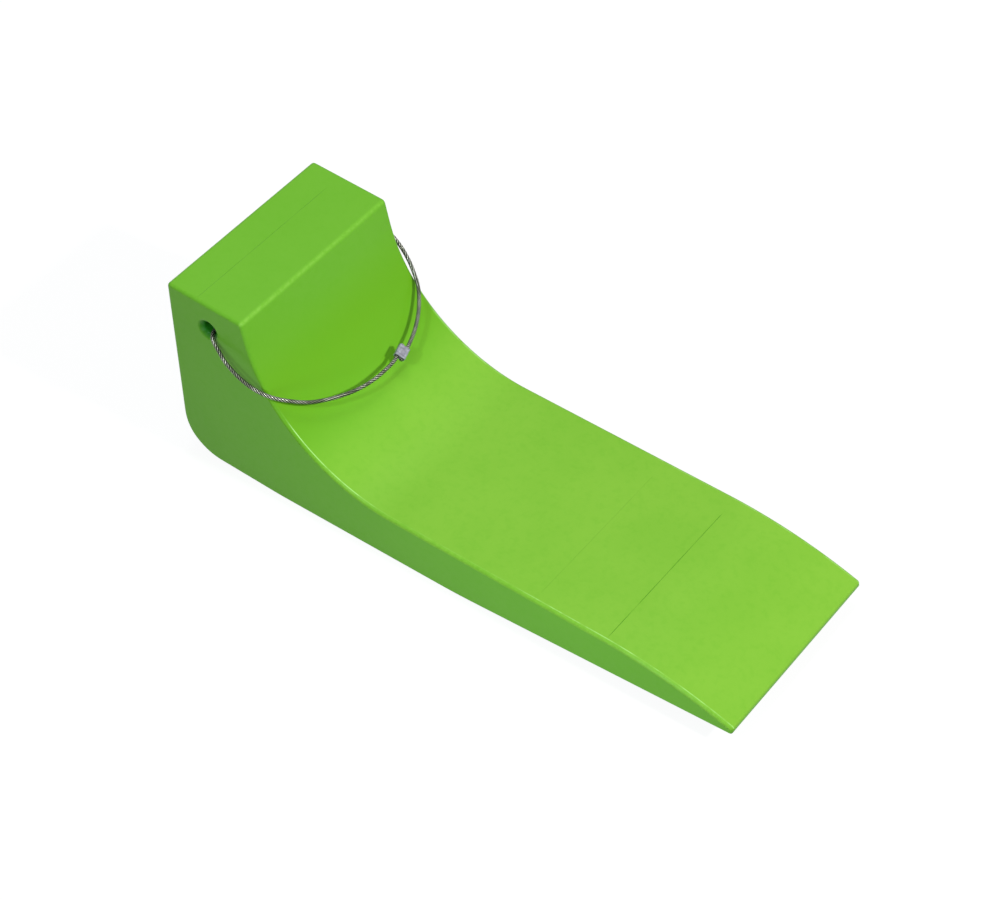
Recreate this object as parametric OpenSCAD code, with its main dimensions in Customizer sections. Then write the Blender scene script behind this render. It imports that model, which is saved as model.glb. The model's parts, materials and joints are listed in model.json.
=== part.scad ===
// Long-tongue wheel chock: a solid moulded block with a wire rope loop through its head.
// Millimetres. +X runs from the head to the toe, Y across, Z up from the underside.
// The origin is under the middle of the block.

/* [Block] */
// Length from the rear face to the tip of the toe
body_l = 595; // [560:5:640]
// Width across the block
body_w = 200; // [170:5:240]
// Height of the head at its rear edge
head_h = 202; // [185:1:220]
// Fall of the head's top from its rear edge to its front edge
head_fall = 4; // [0:1:10]
// Length of the head's top
head_l = 84; // [74:1:94]
// Rounding of the head's rear top edge
head_rear_r = 4; // [3.5:0.5:8]
// Rounding of the head's front top edge
head_front_r = 5; // [3.5:0.5:8]

/* [Wheel seat] */
// Lean of the head's front face from upright, in degrees
face_lean = 12.2; // [8:0.2:16]
// Radius of the seat that the tyre rests in
seat_r = 154; // [135:1:170]
// Height of the tongue where its line meets the front face's line
tongue_h = 52.8; // [46:0.2:60]
// Downward slope of the tongue's top, in degrees
tongue_fall = 0.6; // [0:0.1:1.2]

/* [Toe] */
// Distance from the tip back to the middle of the nose curve
nose_l = 69; // [60:1:80]
// Radius of the nose curve
nose_r = 420; // [320:10:460]
// Height of the toe's upper edge
toe_h = 25.3; // [24:0.1:28]
// Rounding of the toe's upper edge
toe_top_r = 3.5; // [3.5:0.1:4]
// Rounding of the toe's lower edge
toe_low_r = 3.5; // [3.5:0.1:4]

/* [Underside] */
// Distance from the rear face to where the tongue's underside starts to rise
rise_x = 309; // [280:1:340]
// Rise of the tongue's underside, in degrees
toe_rise = 3.6; // [3:0.1:3.8]
// Radius of the bend between the two parts of the underside
rise_r = 640; // [300:20:900]
// Radius of the heel
heel_r = 42; // [30:1:55]
// Distance from the rear face to where the heel leaves the ground
heel_x = 110; // [90:1:140]
// Rise of the underside from there to the heel, in degrees
heel_rise = 2.5; // [1:0.1:3.5]

/* [Cross bore] */
// Distance from the rear face to the middle of the bore
bore_x = 44; // [40:0.5:48]
// Depth of the bore's middle below the top of the head
bore_drop = 30.5; // [27:0.5:34]
// Diameter of the bore
bore_d = 13; // [13:0.5:15]
// Depth of the flare at each mouth of the bore
mouth_flare = 4; // [4:0.5:5]

/* [Witness lines] */
// Width of the lines that the mould's inserts leave
line_w = 0.6; // [0.4:0.1:1]
// Depth of those lines
line_t = 0.3; // [0.2:0.1:0.6]
// Distance from the rear face to the line across the head
head_line_x = 33; // [20:1:60]
// Distance from the rear face to the faint line across the tongue
inner_line_x = 393; // [340:1:420]
// Distance from the rear face to the clear line across the tongue
outer_line_x = 466.5; // [440:0.5:500]
// Length of the line across the head
head_line_l = 178; // [100:1:180]
// Length of the faint line across the tongue
inner_line_l = 160; // [100:1:170]
// Length of the clear line across the tongue
outer_line_l = 172; // [100:1:174]

/* [Rope] */
// Diameter of the wire rope
rope_d = 4; // [3.5:0.1:4]
// Angle of the loop below level where it lies over the wheel seat
rope_rest = 34; // [30:0.5:34]
// Length of each cut end that stands out of the ferrule
rope_stub = 2.5; // [1:0.5:4]

/* [Ferrule] */
// Length of the ferrule
ferrule_l = 12; // [10:0.5:14]
// Wall beside and between its two barrels
ferrule_wall = 0.9; // [0.8:0.1:1.4]
// Wall above and below its barrels
ferrule_cover = 1.2; // [0.9:0.1:1.6]
// Depth of the waist pressed between its barrels on each face
ferrule_waist = 0.5; // [0.2:0.1:0.8]
// Radial clearance of the rope in a barrel
barrel_gap = 0.1; // [0.05:0.05:0.3]
// Distance from the bore's axis to the middle of the ferrule
ferrule_reach = 127.6; // [126:0.2:130]
// Distance from the block's middle to the middle of the ferrule
ferrule_y = 32.5; // [28:0.5:40]
// Turn of the ferrule with the curve of the loop, in degrees
ferrule_turn = 17; // [8:1:20]

/* [Hidden] */

$fn = 96;
cut_over = 1;
// Every arc is this much larger than its tangent one, so that it crosses both lines cleanly.
arc_over = 0.02;

// ---- outline of the block, seen from the side: [x from the rear face, z, radius] ----
function tongue_z(x) = tongue_h - (x - seat_x) * tan(tongue_fall);
function under_z(x) = max(0, (x - rise_x) * tan(toe_rise));
function head_z(x) = head_h - head_fall * x / head_l;

head_front_h = head_h - head_fall;
seat_x = head_l + (head_front_h - tongue_h) * tan(face_lean);
nose_x = body_l - nose_l;

CORNERS = [
    [0, heel_x * tan(heel_rise), heel_r],
    [0, head_h, head_rear_r],
    [head_l, head_front_h, head_front_r],
    [seat_x, tongue_h, seat_r],
    [nose_x, tongue_z(nose_x), nose_r],
    [body_l, toe_h, toe_top_r],
    [body_l, under_z(body_l), toe_low_r],
    [rise_x, 0, rise_r],
    [heel_x, 0, rise_r / 2],
];
COUNT = len(CORNERS);

function flat2(v) = [v[0], v[1]];
function corner(i) = flat2(CORNERS[(i + COUNT) % COUNT]);
function unit(v) = v / norm(v);
function turn_left(v) = [-v[1], v[0]];
function cross2(a, b) = a[0] * b[1] - a[1] * b[0];

// The outline runs clockwise, so a right turn is a convex corner.
function dir_in(i) = unit(corner(i) - corner(i - 1));
function dir_out(i) = unit(corner(i + 1) - corner(i));
function bend_angle(i) = acos(dir_in(i) * dir_out(i));
function is_convex(i) = cross2(dir_in(i), dir_out(i)) < 0;
function corner_r(i) = CORNERS[(i + COUNT) % COUNT][2];
function tangent_l(i) = corner_r(i) * tan(bend_angle(i) / 2);
function arc_start(i) = corner(i) - dir_in(i) * tangent_l(i);
function arc_end(i) = corner(i) + dir_out(i) * tangent_l(i);
function arc_side(i) = is_convex(i) ? -1 : 1;
function arc_centre(i) = arc_start(i) + turn_left(dir_in(i)) * corner_r(i) * arc_side(i);

// ---- places that other pieces take from the block ----
x_shift = -body_l / 2;
half_w = body_w / 2;
bore_z = head_z(bore_x) - bore_drop;
mouth_d = bore_d + 2 * mouth_flare;

// ---- route of the rope: [reach from the bore's axis, across, lift off the loop's plane] ----
LEFT_RUN = [
    [129.2, 9, 0], [128.8, -7, 0], [126.2, -24, 0], [121.5, -40, 0], [114.5, -57, 0],
    [105, -74, 0.5], [93, -88.8, 1.5], [80, -100.5, 1.5], [66, -107.6, 0.5], [50, -111.2, 0],
    [32, -111.4, 0], [18, -107.6, 0], [10.6, -104.8, 0], [6.4, -101.2, 0],
];
BORE_RUN = [
    [4, -96, 0], [3, -86, 0], [-1.6, -46, 0], [-4, 0, 0],
    [-1.6, 46, 0], [3, 86, 0], [4, 96, 0],
];
RIGHT_RUN = [
    [6.4, 101.2, 0], [10.6, 104.8, 0], [18, 107.6, 0], [32, 111.4, 0], [50, 111.6, 0],
    [66, 108.4, 0], [80, 102.8, 0], [93.5, 95, 0], [104.5, 84, 0], [113.5, 72, 0], [121, 58.5, 0],
];
RINGS_PER_STEP = 2;
ROPE_SIDES = 10;

// Barrels lie side by side across the ferrule: -1 is the inner one and 1 the outer one.
barrel_d = rope_d + 2 * barrel_gap;
barrel_step = barrel_d + ferrule_wall;
function barrel_point(side, along) = [
    ferrule_reach + side * barrel_step / 2 * cos(ferrule_turn) - along * sin(ferrule_turn),
    ferrule_y + side * barrel_step / 2 * sin(ferrule_turn) + along * cos(ferrule_turn), 0
];
half_ferrule = ferrule_l / 2;
stub_end = half_ferrule + rope_stub;
lead_in = half_ferrule + 1.5 * rope_d;
BARREL_RUN = [-lead_in, -half_ferrule, 0, stub_end];
ROUTE = concat(
    [for (i = [len(BARREL_RUN) - 1:-1:0]) barrel_point(-1, BARREL_RUN[i])],
    LEFT_RUN, BORE_RUN, RIGHT_RUN,
    [for (along = BARREL_RUN) barrel_point(1, -along)]
);

// Loop plane to block: reach runs forward and down at the angle of rest.
plane_normal = [sin(rope_rest), 0, cos(rope_rest)];
function place(p) = [
    x_shift + bore_x + p[0] * cos(rope_rest), p[1], bore_z - p[0] * sin(rope_rest)
] + p[2] * plane_normal;
function spline(a, b, c, d, t) =
    0.5 * (2 * b + (c - a) * t + (2 * a - 5 * b + 4 * c - d) * t * t
    + (3 * b - a - 3 * c + d) * t * t * t);
LAST = len(ROUTE) - 1;
function route_at(i) = ROUTE[max(0, min(LAST, i))];
CENTRES = concat(
    [for (i = [0:LAST - 1], k = [0:RINGS_PER_STEP - 1])
        place(spline(route_at(i - 1), route_at(i), route_at(i + 1), route_at(i + 2),
            k / RINGS_PER_STEP))],
    [place(ROUTE[LAST])]
);
RING_COUNT = len(CENTRES);
function heading(i) = unit(CENTRES[min(i + 1, RING_COUNT - 1)] - CENTRES[max(i - 1, 0)]);
function ring(i) = [for (k = [0:ROPE_SIDES - 1])
    let (a = 360 * k / ROPE_SIDES)
    CENTRES[i] + rope_d / 2 * (cos(a) * cross(heading(i), plane_normal) + sin(a) * plane_normal)];

// ---- block ----
module outline() {
    difference() {
        polygon([for (i = [0:COUNT - 1]) each is_convex(i) ? [corner(i)] : [arc_start(i), arc_end(i)]]);
        for (i = [0:COUNT - 1]) {
            if (is_convex(i)) corner_cut(i);
            else translate(arc_centre(i)) circle(r = corner_r(i) + arc_over);
        }
    }
}

// Convex corner: what lies outside its arc.
module corner_cut(i) {
    tip = corner(i) + unit(corner(i) - arc_centre(i)) * cut_over / cos(bend_angle(i) / 2);
    difference() {
        polygon([
            arc_start(i), arc_start(i) + cut_over * turn_left(dir_in(i)), tip,
            arc_end(i) + cut_over * turn_left(dir_out(i)), arc_end(i)
        ]);
        translate(arc_centre(i)) circle(r = corner_r(i) + arc_over);
    }
}

module block_solid() {
    rotate([90, 0, 0]) linear_extrude(body_w, center = true) outline();
}

module bore_cut() {
    translate([bore_x, 0, bore_z]) rotate([90, 0, 0]) {
        cylinder(d = bore_d, h = body_w + 2 * cut_over, center = true);
        for (side = [-1, 1]) mirror([0, 0, side > 0 ? 0 : 1])
            translate([0, 0, half_w - mouth_flare])
                cylinder(d1 = bore_d, d2 = mouth_d, h = mouth_flare);
    }
}

module witness_line(x, z, slope, length) {
    translate([x, 0, z]) rotate([0, slope, 0]) cube([line_w, length, 2 * line_t], center = true);
}

module chock_body() {
    color([0.45, 0.76, 0.15]) translate([x_shift, 0, 0]) difference() {
        block_solid();
        bore_cut();
        witness_line(head_line_x, head_z(head_line_x), atan(head_fall / head_l), head_line_l);
        witness_line(inner_line_x, tongue_z(inner_line_x), tongue_fall, inner_line_l);
        witness_line(outer_line_x, tongue_z(outer_line_x), tongue_fall, outer_line_l);
    }
}

// ---- rope and ferrule ----
module rope_loop() {
    rings = [for (i = [0:RING_COUNT - 1]) ring(i)];
    walls = [for (i = [0:RING_COUNT - 2], k = [0:ROPE_SIDES - 1])
        let (a = i * ROPE_SIDES + k, b = i * ROPE_SIDES + (k + 1) % ROPE_SIDES)
        [a, b, b + ROPE_SIDES, a + ROPE_SIDES]];
    first_cap = [for (k = [ROPE_SIDES - 1:-1:0]) k];
    last_cap = [for (k = [0:ROPE_SIDES - 1]) (RING_COUNT - 1) * ROPE_SIDES + k];
    color([0.55, 0.55, 0.55])
        polyhedron(points = [for (r = rings) each r], faces = concat([first_cap], walls, [last_cap]));
}

// Two barrels side by side in one pressed sleeve with round edges and a waist between them.
module ferrule_section() {
    sleeve_t = barrel_d + 2 * ferrule_cover;
    edge_step = barrel_step + barrel_d + 2 * ferrule_wall - sleeve_t;
    difference() {
        union() {
            for (side = [-1, 1]) translate([side * edge_step / 2, 0]) circle(d = sleeve_t);
            square([edge_step, sleeve_t - 2 * ferrule_waist], center = true);
        }
        for (side = [-1, 1]) translate([side * barrel_step / 2, 0]) circle(d = barrel_d);
    }
}

module crimp_ferrule() {
    color([0.78, 0.78, 0.80])
        translate([x_shift + bore_x, 0, bore_z]) rotate([0, rope_rest, 0])
            translate([ferrule_reach, ferrule_y, 0]) rotate([0, 0, ferrule_turn])
                rotate([90, 0, 0]) linear_extrude(ferrule_l, center = true) ferrule_section();
}

chock_body();
rope_loop();
crimp_ferrule();
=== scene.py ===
"""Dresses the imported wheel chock: a solid moulded block with a wire rope carrying loop.

The pieces' own sizes are in millimetres and degrees. The meshes, bumps and studio are in metres, in
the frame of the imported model: +X from the head to the toe, Y across, Z up from the underside.
"""

import json
import logging
import math
from collections.abc import Collection, Sequence
from dataclasses import dataclass
from enum import Enum
from typing import Any, NamedTuple

import bpy
from mathutils import Euler, Matrix, Vector, geometry, noise


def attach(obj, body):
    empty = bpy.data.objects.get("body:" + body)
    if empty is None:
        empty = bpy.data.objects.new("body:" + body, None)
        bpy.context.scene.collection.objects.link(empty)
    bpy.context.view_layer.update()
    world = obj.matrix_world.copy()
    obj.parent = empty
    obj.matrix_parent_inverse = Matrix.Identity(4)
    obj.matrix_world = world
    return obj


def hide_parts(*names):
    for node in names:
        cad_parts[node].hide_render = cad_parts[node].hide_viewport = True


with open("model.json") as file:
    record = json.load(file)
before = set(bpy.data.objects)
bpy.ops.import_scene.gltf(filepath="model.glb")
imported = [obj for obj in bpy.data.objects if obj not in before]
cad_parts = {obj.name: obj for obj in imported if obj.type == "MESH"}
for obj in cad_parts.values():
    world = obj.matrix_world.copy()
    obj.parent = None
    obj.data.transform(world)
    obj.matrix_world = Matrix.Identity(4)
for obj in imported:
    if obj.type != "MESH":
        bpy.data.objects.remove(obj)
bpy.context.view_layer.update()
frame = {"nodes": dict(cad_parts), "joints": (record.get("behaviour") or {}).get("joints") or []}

LOG = logging.getLogger("chock")
MM = 0.001
ACROSS = Vector((0.0, 1.0, 0.0))
EAST = Vector((1.0, 0.0))
HALVINGS = 40  # of a stretch, to find a place on it
MIX_SHARE, MIX_UNDER, MIX_OVER, MIX_SHOWN = 0, 6, 7, 2  # the Mix node's sockets for colours

Colour = tuple[float, float, float]
Spot = tuple[float, float, float]


@dataclass(frozen=True)
class Rise:
    """A smooth rise from 0 at one value to 1 at another, which may be the lower one."""

    start: float
    end: float

    def at(self, value: float) -> float:
        """The share reached at a value."""
        share = min(1.0, max(0.0, (value - self.start) / (self.end - self.start)))
        return share * share * (3 - 2 * share)


# ---- shader graphs ----


@dataclass(frozen=True)
class Cloud:
    """Soft noise: cells in a metre, octaves, weight of the finer octaves, and stretch."""

    cells: float
    octaves: float
    rough: float
    stretch: tuple[float, float, float] = (1.0, 1.0, 1.0)


@dataclass(frozen=True)
class Band:
    """A range of values and the range that it is mapped onto."""

    low: float
    high: float
    to_low: float = 0.0
    to_high: float = 1.0


@dataclass(frozen=True)
class Relief:
    """A bump: its height in metres and how much of it shows."""

    height: float
    strength: float


class Channel:
    """A number socket that takes arithmetic and adds the Math nodes for it."""

    def __init__(self, graph: "Graph", socket: bpy.types.NodeSocket) -> None:
        """Wraps an output socket of a graph."""
        self.graph = graph
        self.socket = socket

    def _math(self, operation: str, *values: Any, clamp: bool = False) -> "Channel":
        """Adds one Math node on numbers or channels and hands back its result."""
        settings = {"operation": operation, "use_clamp": clamp}
        return self.graph.add("ShaderNodeMath", settings, dict(enumerate(values)))

    def __add__(self, other: Any) -> "Channel":
        """Sum."""
        return self._math("ADD", self, other)

    __radd__ = __add__

    def __sub__(self, other: Any) -> "Channel":
        """Difference."""
        return self._math("SUBTRACT", self, other)

    def __rsub__(self, other: Any) -> "Channel":
        """Difference from a number."""
        return self._math("SUBTRACT", other, self)

    def __mul__(self, other: Any) -> "Channel":
        """Product."""
        return self._math("MULTIPLY", self, other)

    __rmul__ = __mul__

    def clamped(self) -> "Channel":
        """The value kept from 0 to 1."""
        return self._math("ADD", self, 0.0, clamp=True)

    def larger(self, other: Any) -> "Channel":
        """The larger of two values."""
        return self._math("MAXIMUM", self, other)

    def sine(self) -> "Channel":
        """The sine of the value in radians."""
        return self._math("SINE", self)

    def spread(self, band: Band) -> "Channel":
        """Maps a range of the value smoothly onto another.

        Args:
            band: Both ranges.

        Returns:
            The mapped value.
        """
        inputs = {
            "Value": self,
            "From Min": band.low,
            "From Max": band.high,
            "To Min": band.to_low,
            "To Max": band.to_high,
        }
        return self.graph.add("ShaderNodeMapRange", {"interpolation_type": "SMOOTHSTEP"}, inputs)


class Graph:
    """The node tree of one material or of the world."""

    def __init__(self, tree: bpy.types.NodeTree) -> None:
        """Empties a tree, which is then filled."""
        tree.nodes.clear()
        self.tree = tree

    def add(
        self, kind: str, settings: dict[str, Any], inputs: dict[Any, Any], output: int | str = 0
    ) -> Channel | None:
        """Adds a node, its settings first and then its inputs.

        Args:
            kind: The node's type.
            settings: Its properties by name.
            inputs: Values or channels by socket name or number.
            output: The name or number of the output that is handed back.

        Returns:
            That output, or None from a node without outputs.
        """
        node = self.tree.nodes.new(kind)
        for name, value in settings.items():
            setattr(node, name, value)
        for name, value in inputs.items():
            socket = node.inputs[name]
            if isinstance(value, Channel):
                self.tree.links.new(value.socket, socket)
            elif socket.type == "RGBA":
                socket.default_value = (*value, 1.0)
            else:
                socket.default_value = value
        return Channel(self, node.outputs[output]) if len(node.outputs) else None

    def layered(self, base: Colour, *coats: tuple[Channel, Colour]) -> Channel:
        """Lays colours over a base.

        Args:
            base: The colour underneath.
            coats: Share and colour of each coat, the lowest first.

        Returns:
            The colour that shows.
        """
        settings = {"data_type": "RGBA", "blend_type": "MIX", "clamp_factor": True}
        shown: Any = base
        for share, colour in coats:
            inputs = {MIX_SHARE: share, MIX_UNDER: shown, MIX_OVER: colour}
            shown = self.add("ShaderNodeMix", settings, inputs, MIX_SHOWN)
        return shown

    def clouds(self, cloud: Cloud) -> Channel:
        """Adds noise in coordinates that move with the piece.

        Args:
            cloud: What the noise is like.

        Returns:
            The noise, from 0 to 1.
        """
        here = self.add("ShaderNodeTexCoord", {}, {}, "Object")
        factors = {0: here, 1: cloud.stretch}
        at = self.add("ShaderNodeVectorMath", {"operation": "MULTIPLY"}, factors)
        inputs = {
            "Vector": at,
            "Scale": cloud.cells,
            "Detail": cloud.octaves,
            "Roughness": cloud.rough,
        }
        return self.add("ShaderNodeTexNoise", {"noise_dimensions": "3D"}, inputs, "Fac")

    def stored(self, name: str) -> Channel:
        """A value that the mesh carries at its points."""
        settings = {"attribute_type": "GEOMETRY", "attribute_name": name}
        return self.add("ShaderNodeAttribute", settings, {}, "Fac")

    def embossed(self, *steps: tuple[Channel, Relief]) -> Channel:
        """Lays bumps over each other.

        Args:
            steps: Height from 0 to 1 and relief of each bump, the coarsest first.

        Returns:
            The bent normal.
        """
        normal = None
        for height, relief in steps:
            inputs = {"Height": height, "Distance": relief.height, "Strength": relief.strength}
            if normal is not None:
                inputs["Normal"] = normal
            normal = self.add("ShaderNodeBump", {}, inputs, "Normal")
        return normal

    def surface(self, shader: Channel) -> None:
        """Makes a shader the material's surface."""
        self.add("ShaderNodeOutputMaterial", {}, {"Surface": shader})

    def principled(self, **inputs: Any) -> None:
        """Makes the surface a Principled shader; underscores stand for spaces in input names."""
        named = {name.replace("_", " "): value for name, value in inputs.items()}
        self.surface(self.add("ShaderNodeBsdfPrincipled", {}, named))


def new_material(name: str) -> tuple[bpy.types.Material, Graph]:
    """Makes an empty node material.

    Args:
        name: The material's name.

    Returns:
        The material and its graph.
    """
    material = bpy.data.materials.new(name)
    material.use_nodes = True
    return material, Graph(material.node_tree)


# ---- finishes ----


@dataclass(frozen=True)
class MouldedPlastic:
    """Satin through-coloured plastic with a fine grain, paler with painted sheen where wheels roll,
    and painted shade and highlights.
    """

    base: Colour = (0.181, 0.515, 0.032)
    tread: Colour = (0.254, 0.570, 0.046)
    # painted shade: darker and greener in the hollow of the wheel seat
    hollow: Colour = (0.155, 0.445, 0.013)
    deep: Colour = (0.135, 0.455, 0.016)
    # painted shade along the rounded edges
    rim: Colour = (0.110, 0.380, 0.010)
    worn: Colour = (0.300, 0.660, 0.085)
    polished: Colour = (0.520, 0.950, 0.280)
    # painted shade in the witness lines' grooves
    groove: Colour = (0.070, 0.270, 0.006)
    shaded: Colour = (0.006, 0.190, 0.007)
    soiled: Colour = (0.035, 0.130, 0.006)
    flow: Cloud = Cloud(14.0, 3.0, 0.55)
    fine: Cloud = Cloud(150.0, 3.0, 0.6)
    grain: Cloud = Cloud(1500.0, 2.0, 0.6)
    rub: Cloud = Cloud(260.0, 4.0, 0.65)
    streak: Cloud = Cloud(60.0, 3.0, 0.6, (1.0, 0.2, 1.0))
    scrape: Cloud = Cloud(90.0, 4.0, 0.7, (0.35, 3.0, 3.0))
    flow_mottle: Band = Band(0.35, 0.72, 0.0, 0.16)
    fine_mottle: Band = Band(0.42, 0.75, 0.0, 0.16)
    rim_patches: Band = Band(0.30, 0.70, 0.1, 0.4)
    worn_patches: Band = Band(0.34, 0.62, 0.15, 0.75)
    polished_patches: Band = Band(0.36, 0.56, 0.15, 0.9)
    scraped_patches: Band = Band(0.52, 0.66)
    scraped_soil: float = 0.3
    roughness: Band = Band(0.3, 0.7, 0.29, 0.37)
    scraped_roughness: float = 0.15
    waves: Relief = Relief(0.0006, 0.25)
    peel: Relief = Relief(0.00018, 0.35)
    pores: Relief = Relief(0.00005, 0.35)
    index: float = 1.49
    gloss: float = 0.13

    def material(self) -> bpy.types.Material:
        """Makes the finish.

        Returns:
            The finished material.
        """
        made, graph = new_material("satin_moulding")
        flow, fine, rub = (graph.clouds(cloud) for cloud in (self.flow, self.fine, self.rub))
        streak = graph.clouds(self.streak).spread(self.polished_patches)
        scraped = graph.stored("underside") * graph.clouds(self.scrape).spread(self.scraped_patches)
        colour = graph.layered(
            self.base,
            # paler where wheels roll, plus painted sheen: lighter on the upward faces of the seat
            # and tongue
            (graph.stored("tread"), self.tread),
            # painted shade in the hollow of the wheel seat
            (graph.stored("hollow"), self.hollow),
            (flow.spread(self.flow_mottle) + fine.spread(self.fine_mottle), self.deep),
            # painted shade on the edges' roundings, in patches
            (graph.stored("rim") * rub.spread(self.rim_patches), self.rim),
            # painted highlight along the head's front top edge, in patches
            (graph.stored("crest") * rub.spread(self.worn_patches), self.worn),
            # painted highlight: a thin pale line where each long upper edge's rounding meets the
            # top
            (graph.stored("edge_highlight") * streak, self.polished),
            # painted shade in the witness lines' grooves
            (graph.stored("line"), self.groove),
            (graph.stored("shade"), self.shaded),
            (scraped * self.scraped_soil, self.soiled),
        )
        bumps = ((flow, self.waves), (fine, self.peel), (graph.clouds(self.grain), self.pores))
        graph.principled(
            Base_Color=colour,
            Roughness=fine.spread(self.roughness) + scraped * self.scraped_roughness,
            Normal=graph.embossed(*bumps),
            IOR=self.index,
            Specular_IOR_Level=self.gloss,
        )
        return made


@dataclass(frozen=True)
class StrandedSteel:
    """Bright galvanised wire with dark grease and painted shade between the strands and wires."""

    bright: Colour = (0.84, 0.87, 0.73)
    dull: Colour = (0.31, 0.34, 0.24)
    grime: Colour = (0.008, 0.011, 0.005)
    tarnish: Cloud = Cloud(90.0, 3.0, 0.6)
    fleck: Cloud = Cloud(900.0, 2.0, 0.5)
    wires_per_strand: int = 7
    crown: Band = Band(-0.9, 0.5)
    tarnish_patches: Band = Band(0.40, 0.62)
    fleck_patches: Band = Band(0.55, 0.75, 0.0, 0.5)
    valleys: Band = Band(0.0, 0.27)
    wire_gaps: float = 0.36
    roughness: Band = Band(0.3, 0.7, 0.24, 0.40)
    grimy_roughness: float = 0.35
    metal: Band = Band(0.2, 1.0, 1.0, 0.35)
    wire_backs: Relief = Relief(0.00010, 0.5)

    def material(self) -> bpy.types.Material:
        """Makes the finish.

        Returns:
            The finished material.
        """
        made, graph = new_material("wire_rope_steel")
        tarnish, fleck = graph.clouds(self.tarnish), graph.clouds(self.fleck)
        wires = (graph.stored("wire_turn") * (math.tau * self.wires_per_strand)).sine()
        crown = wires.spread(self.crown)
        # painted shade between the wires, which are only bumps
        gaps = (1 - crown) * self.wire_gaps
        # grease and painted shade deep in the valleys between strands
        dark = (graph.stored("valley").spread(self.valleys) + gaps).clamped()
        colour = graph.layered(
            self.bright,
            (tarnish.spread(self.tarnish_patches), self.dull),
            (fleck.spread(self.fleck_patches), self.dull),
            (dark, self.grime),
        )
        graph.principled(
            Base_Color=colour,
            Roughness=(dark * self.grimy_roughness + tarnish.spread(self.roughness)).clamped(),
            Metallic=dark.spread(self.metal),
            Normal=graph.embossed((crown, self.wire_backs)),
        )
        return made


@dataclass(frozen=True)
class PressedAluminium:
    """Soft pressed aluminium, mottled grey with scuffed faces."""

    light: Colour = (0.37, 0.37, 0.42)
    grey: Colour = (0.23, 0.23, 0.28)
    stain: Colour = (0.21, 0.18, 0.22)
    blotch: Cloud = Cloud(420.0, 3.0, 0.6)
    scuff: Cloud = Cloud(900.0, 3.0, 0.65, (1.0, 5.0, 1.0))
    blotch_patches: Band = Band(0.38, 0.64)
    scuff_patches: Band = Band(0.56, 0.74, 0.0, 0.6)
    waist_stain: float = 0.4
    roughness: Band = Band(0.3, 0.7, 0.50, 0.70)
    metal: float = 0.25
    dents: Relief = Relief(0.00025, 0.5)
    scratches: Relief = Relief(0.00008, 0.5)

    def material(self) -> bpy.types.Material:
        """Makes the finish.

        Returns:
            The finished material.
        """
        made, graph = new_material("pressed_aluminium")
        blotch, scuff = graph.clouds(self.blotch), graph.clouds(self.scuff)
        colour = graph.layered(
            self.light,
            (blotch.spread(self.blotch_patches), self.grey),
            (scuff.spread(self.scuff_patches), self.light),
            # darker along the pressed waist, and painted shade inside the barrels
            (graph.stored("valley") * self.waist_stain, self.stain),
        )
        graph.principled(
            Base_Color=colour,
            Roughness=blotch.spread(self.roughness),
            Metallic=self.metal,
            Normal=graph.embossed((blotch, self.dents), (scuff, self.scratches)),
        )
        return made


# ---- mesh making ----


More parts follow.
